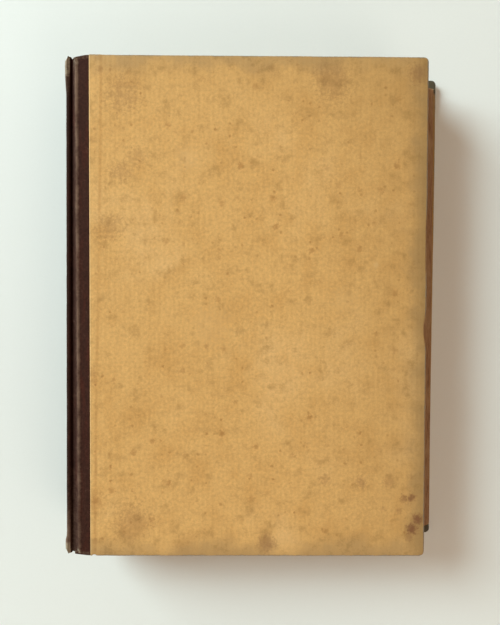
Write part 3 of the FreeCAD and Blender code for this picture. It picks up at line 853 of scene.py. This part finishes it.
def makeCloth(cover, startAngle, withSpine):
    name = f"{cover.name}_spine_cloth"
    shell = Shell()
    section = clothSection(startAngle)
    centre = (spineCentre[0] - cover.left, (spineCentre[1] - cover.face) * cover.out)
    if withSpine:
        spine = arc(centre, clothRadius, backAngle, frontAngle, 48)[:-1]
        # On the spine the painted shade grows towards the crest
        section = [(s, h, 0.15, 0.45 + 0.55 * smooth(h, -6, -2.5)) for s, h in spine] + section
    shares = steps(-1, 1, clothStrip["rows"])
    halfSpine, halfCover = span("spine_cloth")[1][1], cover.half + book["cloth"]
    outer, inner, length = [], [], 0.0
    for index, (s, h, rub, soot) in enumerate(section):
        before, after = section[max(0, index - 1)], section[min(len(section) - 1, index + 1)]
        run = Vector((after[0] - before[0], after[1] - before[1])).normalized()
        normal = (-run[1], run[0])
        onBoard = 0.0 if h < clothStrip["spineBelow"] else smooth(s, -0.6, 0.2)
        half = halfSpine + (halfCover - 0.9 - halfSpine) * onBoard
        if index:
            length += math.hypot(s - section[index - 1][0], h - section[index - 1][1])
        for share in shares:
            y = share * half
            marks = clothWear(s, y, h, rub, soot, onBoard, half)
            place = clothShape(cover, s, y, h, onBoard, normal)
            inwards = (normal[0], 0, normal[1])
            under = [value - shift * clothStrip["thick"] for value, shift in zip(place, inwards)]
            outer.append(shell.put(cover.place(*place), (length, y), marks))
            inner.append(shell.put(cover.place(*under), (length, y), marks))
    shell.faces += closedSheet(len(section), len(shares), outer, inner)
    for side in (1, -1):
        wrapBoardEnd(shell, cover, side)
        if withSpine:
            foldSpineEnd(shell, cover, centre, side)
    return show(name, shell.mesh(name), cloth)


def edgeShift(cover, y):
    # The groove's wall leans over the board a little more towards the tail
    return clothStrip["shift"] + clothStrip["slant"] * (1 - (y / cover.half + 1) / 2)


def underPaper(cover, s, y):
    # The cloth's hidden end slants with the line that shows through the paper
    start, reach = clothStrip["paperFrom"], clothStrip["reach"]
    limit = min(reach, clothReach(cover, y) - 0.1)
    return start + (s - start) * (limit - start) / (reach - start)


def clothShape(cover, s, y, h, onBoard, normal):
    # Puckers and wear in the cloth: the board's corners are rubbed away, the spine's ends bulge
    end, side = (spineEnds["head"], 1) if y > 0 else (spineEnds["tail"], -1)
    onSpine = h < clothStrip["spineBelow"]
    if s > clothStrip["paperFrom"] and not onSpine:
        s = underPaper(cover, s, y)
    if s > clothStrip["grooveFrom"] and not onSpine:
        s += edgeShift(cover, y) * smooth(s, clothStrip["grooveFrom"], -0.6) * smooth(5 - s, 0, 3)
    if onBoard > 0.5:
        s, y, h = worn(cover, s, y, h)
        pucker = puckers["board"] * wander(y, s, 5, cover.seed)
        pucker += puckers["boardFine"] * wander(y, s, 1.4, cover.seed)
        pucker += puckers["lip"] * wander(y, 0, 6, 8.8) * smooth(2 - s, 0, 1.5)
        return s + normal[0] * pucker, y, h + normal[1] * pucker
    pucker = puckers["spine"] * wander(y, s, 5, cover.seed)
    pucker += puckers["spineFine"] * wander(y, s, 1.4, cover.seed)
    if s < clothStrip["grooveFrom"] or onSpine:
        proud = smooth(h, -9, -2.2) * smooth(-normal[0], -0.2, 0.5)
        pucker += end["swell"] * smooth(abs(y), end["swellFrom"], 98) * proud
        pucker += puckers["ends"] * wander(y, h, 2.5, 5.5) * smooth(abs(y), 90, 98)
        y += end["stretch"] * smooth(abs(y), 97, 101.7) * side
        tip = max(0, (abs(y) - 99.4) / 3.2) * proud
        if tip > 0:
            s = -2.0 + (s + 2.0) * math.sqrt(max(0.05, 1 - tip * tip))
    return s + normal[0] * pucker, y, h + normal[1] * pucker


def clothWear(s, y, h, rub, soot, onBoard, half):
    # How rubbed and frayed the cloth is at one place, and how much painted shade it gets there; the rub also
    # holds the ridge's painted highlight
    end = spineEnds["head"] if y > 0 else spineEnds["tail"]
    rub *= 0.85 + 0.5 * wander(y, 0, 8, 2.2) + 0.45 * wander(y, s, 1.9, 7.1) + 0.3 * smooth(y, 60, 98)
    rub *= 1 - 0.25 * smooth(-y, 55, 95)
    rub += 0.28 * smooth(-y, 50, 98) * soot
    fray = 0.0

    def near(reach, over):
        return smooth(reach - half + abs(y), 0, over)

    if onBoard < 0.5 and (s < -2.3 or h < clothStrip["spineBelow"]):
        fray = near(end["frayReach"], 9) * smooth(h, -6, -2.4) * end["fray"]
        rub += 0.5 * near(22, 18) * smooth(h, -12, -2)
        # Less painted shade at the frayed ends and towards the tail
        soot *= 1 - 0.85 * near(end["frayReach"], 8)
        soot *= 1 - 0.45 * smooth(-y, 45, 90)
        if y < 0:
            fray += 0.9 * near(5, 2) * (1 - smooth(s, -2.9, -2.1))
            soot *= 1 - 0.6 * near(6, 3)
    elif s >= -1.6 and y > 0:
        fray = 0.50 * near(11, 10) * smooth(2.2 - s, 0, 1.2) * smooth(s, -1.6, -0.6)
        soot *= 1 - 0.7 * near(13, 10)
    if onBoard >= 0.5:
        fray = max(fray, 0.8 * near(3.0, 2.5) * smooth(2.5 - s, 0, 2))
        rub += 0.25 * near(1.2, 1.2)
    return max(0, rub), fray, soot


def aroundEdge(outside, start, reach, top, bottom, roll, inner, thick):
    # A closed strip in (y, h) that wraps a board's end: over the top, round the edge and back under
    def side(out, shift):
        path = [(start, top - shift)]
        path += arc((out - roll, top - roll), roll - shift, 90, 0, 5)
        path += arc((out - inner, bottom + inner), inner - shift, 0, -90, 4)
        path.append((out - reach, bottom + shift))
        return path
    return side(outside, 0) + list(reversed(side(outside, thick)))


def wrapBoardEnd(shell, cover, side):
    # The cloth's turn-in at the head or tail of a board
    strip = clothStrip
    thick = strip["thick"]
    outside = cover.half + thick
    reach = span(f"{cover.name}_side_cloth")[1][1] - strip["turnInTo"]
    bottom = -cover.thick - coverSheet["under"]
    loop = aroundEdge(outside, outside - strip["turnInFrom"], reach, thick + strip["turnInProud"], bottom,
                      strip["turnInRoll"], strip["turnInInner"], thick)
    rings = []
    for s in steps(0.15, strip["reach"] - 0.3, 16):
        hump = (strip["ridgeTop"] - thick) * (1 - smooth(s, strip["ridge"], strip["ridgeEnd"]))
        ring = []
        for y, h in loop:
            over = smooth(h, -1.0, 0)
            along = s if s < strip["paperFrom"] else underPaper(cover, s, y * side)
            place = worn(cover, along, y * side, h + hump * over)
            # The last of these marks is a little painted shade
            wearAndShade = (0.3 + 0.3 * wander(s, h, 1.2, 4.4), 0.7 * smooth(2.2 - s, 0, 2) * over, 0.15)
            ring.append(shell.put(cover.place(*place), (40 + s, y * side + h), wearAndShade))
        rings.append(ring)
    shell.loops(rings)


spineFold = {"proud": 0.02, "inner": 0.4, "lap": 2.2, "deep": 12, "dip": 0.35, "dipWander": 0.10,
             "ripple": 0.06}


def foldSpineEnd(shell, cover, centre, side):
    # The cloth folded in over the card at the head or tail of the spine
    thick = clothStrip["thick"]
    half = span("spine_cloth")[1][1] + spineEnds["head" if side > 0 else "tail"]["foldPast"]
    outside = clothRadius + spineFold["proud"]
    inside = clothRadius - 2 * thick - spineFold["inner"]
    middle, bulge = (outside + inside) / 2, (outside - inside) / 2
    lap, deep = half - spineFold["lap"], half - spineFold["deep"]
    loop = [(outside, lap)]
    loop += arc((middle, half - bulge), bulge, 0, 180, 8)
    loop += [(inside, deep), (inside + thick, deep), (inside + thick, half - bulge),
             (clothRadius - thick, half - bulge), (clothRadius - thick, lap)]
    rings = []
    for turn in steps(backAngle, frontAngle + 1, 40):
        way = (math.cos(math.radians(turn)), math.sin(math.radians(turn)))
        along = turn * 0.4
        near = smooth(abs(turn - (backAngle + frontAngle) / 2), 8, 28)
        dip = spineFold["dip"] * (1 - near) + spineFold["dipWander"] * wander(along, 0, 2.0, 1.3)
        ring = []
        for radius, y in loop:
            radius += spineFold["ripple"] * wander(along, y, 2.5, 6.1)
            s, h = centre[0] + way[0] * radius, centre[1] + way[1] * radius
            fray = (0.7 * near + 0.2) * smooth(y, half - 2.6, half - 0.8)
            # The last of these marks is a little painted shade
            wearAndShade = (0.55 + 0.4 * wander(along, y, 1.6, 9.1), fray, 0.3)
            point = cover.place(s, (y - dip * smooth(y, half - 3, half)) * side, h)
            ring.append(shell.put(point, (along, y * side), wearAndShade))
        rings.append(ring)
    shell.loops(rings)


folds = {"thick": 0.02, "low": -0.012, "from": 0.15, "to": 3.05, "bendFrom": 0.7, "bendTo": 2.9,
         "sunk": 0.085, "columns": 30, "rows": 40, "short": 0.6}


def makeFold(cover, level, leafMaterial):
    # The endpaper's fold across a hinge, lying flat as it does when the book is shut
    hinge = cover.left - book["hingeInset"]
    across = steps(folds["from"], folds["to"], folds["columns"])
    along = steps(folds["short"] - halfPages, halfPages - folds["short"], folds["rows"])
    points = []
    for layer in (0, 1):
        for run in across:
            rise = folds["sunk"] * smooth(run, folds["bendTo"] - 0.2, folds["to"])
            z = level + cover.out * (rise + folds["low"] + layer * folds["thick"])
            points += [Vector((hinge + run, y, z)) * mm for y in along]
    total = len(across) * len(along)
    faces = closedSheet(len(across), len(along), range(total), range(total, 2 * total))
    name = f"{cover.name}_endpaper_fold"
    piece = show(name, settled(plainMesh(name, points, faces), 80), leafMaterial)
    start = Vector((hinge + folds["bendFrom"], 0, level)) * mm
    end = Vector((hinge + folds["bendTo"], 0, level)) * mm
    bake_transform(piece)


leaves = {"count": 93, "gathering": 8, "shakeLeaf": 0.05, "shakeGathering": 0.12, "seed": 11,
          "corner": 0.8, "bevel": 0.035, "slotDeep": 0.45, "slotHalf": 0.7, "outerSpace": 0.15}


def leafMesh(thick):
    # One leaf, with its back edge at x = 0 and a slot there for each row of sewing
    wide, half, corner = book["pagesWide"], halfPages, leaves["corner"]
    shape = [(0, -half), (wide / 2, -half)]
    shape += arc((wide - corner, corner - half), corner, -90, 0, 4)
    shape += [(wide, y) for y in steps(-half + 20, half - 20, 6)]
    shape += arc((wide - corner, half - corner), corner, 0, 90, 4)
    shape += [(wide / 2, half), (0, half)]
    for row in range(book["sewingRows"], 0, -1):
        low, high = span(f"sewing_row_{row}")
        for x, edge in ((0, 1), (leaves["slotDeep"], 1), (leaves["slotDeep"], -1), (0, -1)):
            shape.append((x, (low[1] + high[1]) / 2 + edge * leaves["slotHalf"]))
    levels = [(leaves["bevel"], -thick / 2), (0, -thick / 4), (0, thick / 4), (leaves["bevel"], thick / 2)]
    points = []
    for inset, level in levels:
        shrink = (1 - 2 * inset / wide, 1 - inset / half)
        for x, y in shape:
            points.append(Vector((wide / 2 + (x - wide / 2) * shrink[0], y * shrink[1], level)) * mm)
    return settled(plainMesh("leaf", points, stackedRings(len(shape), len(levels))), 30)


def makePages():
    bottom, top = flyBottom + leaves["outerSpace"], flyTop - leaves["outerSpace"]
    pitch = (top - bottom) / leaves["count"]
    leaf = show("leafPattern", leafMesh(pitch))
    values = {"Leaves": leaves["count"], "Pitch": pitch * mm, "Gathering": leaves["gathering"],
              "Shake": leaves["shakeLeaf"] * mm, "Gathering shake": leaves["shakeGathering"] * mm,
              "Seed": leaves["seed"]}
    graph, entry = geometryTree("leafStack", values)
    pile = {"Count": entry.also("Leaves"), "Start Location": (0, 0, (bottom + pitch / 2) * mm),
            "Offset": graph.vector(0.0, 0.0, entry.also("Pitch"))}
    line = graph.add("GeometryNodeMeshLine", values=pile)
    z = graph.parts(graph.add("GeometryNodeInputPosition"))[2] - spineCentre[1] * mm
    backEdge = spineCentre[0] * mm - z.maths("SQRT", (blockRadius * mm) ** 2 - z * z)
    index = graph.add("GeometryNodeInputIndex")
    group = index.maths("FLOOR", index / entry.also("Gathering"))
    seed = entry.also("Seed")

    def shake(which, amount, seed):
        values = {0: (-1, -1, 0), 1: (1, 1, 0), "ID": which, "Seed": seed}
        move = graph.add("FunctionNodeRandomValue", {"data_type": "FLOAT_VECTOR"}, values)
        return graph.stretched(move, amount)

    offset = graph.plus(shake(index, entry.also("Shake"), seed),
                        shake(group, entry.also("Gathering shake"), seed + 1))
    offset = graph.plus(offset, graph.vector(backEdge, 0.0, 0.0))
    moved = graph.add("GeometryNodeSetPosition", values={"Geometry": line, "Offset": offset})
    pattern = graph.add("GeometryNodeObjectInfo", values={"Object": leaf}, out="Geometry")
    stack = graph.add("GeometryNodeInstanceOnPoints", values={"Points": moved, "Instance": pattern})
    geometryEnd(graph, stack, pages)
    block = show("leaf_stack", bpy.data.meshes.new("leaf_stack"))
    grow(block, graph.tree, values)
    baked(block)
    bpy.data.objects.remove(leaf)
    addShoulders(block, bottom, top)
    return block


def addShoulders(block, bottom, top):
    # The swollen first and last gatherings, which the boards' spine edges sit against
    low, high = span("page_block")
    shell = bmesh.new()
    shell.from_mesh(block.data)
    for crest, start, end in ((frontCrest, top, high[2]), (backCrest, low[2], bottom)):
        left = spineCentre[0] - math.sqrt(blockRadius ** 2 - ((start + end) / 2 - spineCentre[1]) ** 2)
        right = crest[0] + book["crestRadius"] - book["cloth"]
        ends = []
        for y in (-halfPages, halfPages):
            ring = [(left, start), (right, start), (right, end), (left, end)]
            ends.append([shell.verts.new(Vector((x, y, z)) * mm) for x, z in ring])
        made = [shell.faces.new(ends[0]), shell.faces.new(list(reversed(ends[1])))]
        for k in range(4):
            corners = (ends[0][k], ends[1][k], ends[1][(k + 1) % 4], ends[0][(k + 1) % 4])
            made.append(shell.faces.new(corners))
        bmesh.ops.recalc_face_normals(shell, faces=made)
    shell.to_mesh(block.data)
    shell.free()


bands = {"radius": 0.6, "core": 0.46, "thread": 0.13, "spacing": 0.27, "trim": 1.6, "coreSides": 10,
         "threadSides": 5, "steps": 40}


def makeBand(name, side):
    # Threads wound round a core along the back of the pages
    radius = blockRadius - bands["radius"]
    start, end = frontAngle + bands["trim"], backAngle - bands["trim"]
    count = int(math.radians(end - start) * radius / bands["spacing"])
    values = {"Threads": count, "Core": bands["core"] * mm, "Thread": bands["thread"] * mm}
    graph, entry = geometryTree(f"{name}Winding", values)

    def circle(sides, label):
        values = {"Resolution": sides, "Radius": entry.also(label)}
        return graph.add("GeometryNodeCurvePrimitiveCircle", values=values)

    path = graph.add("GeometryNodeMeshToCurve", values=[entry])
    spaced = graph.add("GeometryNodeResampleCurve", values={"Curve": path, "Count": entry.also("Threads")})
    section = {0: circle(bands["coreSides"], "Core"), "Profile Curve": circle(bands["threadSides"], "Thread")}
    ring = graph.add("GeometryNodeCurveToMesh", values=section)
    along = {"Vector": graph.add("GeometryNodeInputTangent")}
    turned = graph.add("FunctionNodeAlignRotationToVector", {"axis": "Z"}, along)
    winding = {"Points": spaced, "Instance": ring, "Rotation": turned}
    wound = graph.add("GeometryNodeInstanceOnPoints", values=winding)
    section = {0: path, "Profile Curve": circle(bands["coreSides"], "Core"), "Fill Caps": True}
    core = graph.add("GeometryNodeCurveToMesh", values=section)
    both = graph.tree.nodes.new("GeometryNodeJoinGeometry")
    for part in (wound, core):
        graph.tree.links.new(part.socket, both.inputs[0])
    geometryEnd(graph, Socket(graph, both.outputs[0]), bandThread)
    y = side * (halfPages + bands["radius"])
    points = [Vector((x, y, z)) * mm for x, z in arc(spineCentre, radius, start, end, bands["steps"])]
    line = bpy.data.meshes.new(name)
    line.from_pydata(points, [(k, k + 1) for k in range(bands["steps"])], [])
    piece = show(name, line)
    grow(piece, graph.tree, values)
    return baked(piece)


# Materials, then the pieces
papers = {"front": coverPaperFinish(front), "back": coverPaperFinish(back)}
cloth = clothFinish()
pages = pagesFinish()
boards = boardFinish()
bandThread = threadedFinish("bandThread", "flax", "leafBrown", 0.3)
looks = {
    "front_pastedown": leafFinish("frontEndpaper", "front_flyleaf"),
    "front_flyleaf": leafFinish("frontFlyleafPaper", "front_flyleaf"),
    "back_pastedown": leafFinish("backEndpaper", "back_flyleaf"),
    "back_flyleaf": leafFinish("backFlyleafPaper", "back_flyleaf"),
    "spine_liner": cardFinish("spineLinerPaper", "leafBrown", "glue"),
    "spine_stiffener": cardFinish("spineCard", "card", "grime"),
}
gauze = threadedFinish("gauzeCloth", "gauze", "glue", 0.9, glue=0.6)
stitches = threadedFinish("sewingThread", "flax", "leafBrown", 0.5, glue=0.3)
for node in ("spine_mull", "front_mull_flange", "back_mull_flange"):
    looks[node] = gauze
for row in range(1, book["sewingRows"] + 1):
    looks[f"sewing_row_{row}"] = stitches
for node, material in looks.items():
    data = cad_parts[node].data
    data.materials.clear()
    data.materials.append(material)
print("materials are made")

for cover in (front, back):
    card = makeBoard(cover)
    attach(card, f"{cover.name}_cover")
    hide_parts(f"{cover.name}_board")
for cover in (front, back):
    sheet = makeCoverPaper(cover)
    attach(sheet, f"{cover.name}_cover")
    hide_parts(f"{cover.name}_cover_paper")
print("boards and cover papers are made")

frontCloth = makeCloth(front, frontAngle, True)
makeFold(front, flyTop, looks["front_flyleaf"])
makeFold(back, flyBottom, looks["back_flyleaf"])
backCloth = makeCloth(back, 360 - backAngle, False)


def bendAcross(piece):
    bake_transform(piece)


bendAcross(frontCloth)
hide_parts("spine_cloth", "front_side_cloth")
bendAcross(backCloth)
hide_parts("back_side_cloth")
print("spine cloth is made")

block = makePages()
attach(block, "text_block")
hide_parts("page_block")
for name, node, side in (("head_band_winding", "head_band", 1), ("tail_band_winding", "tail_band", -1)):
    band = makeBand(name, side)
    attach(band, "text_block")
    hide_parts(node)
print("pages and bands are made")
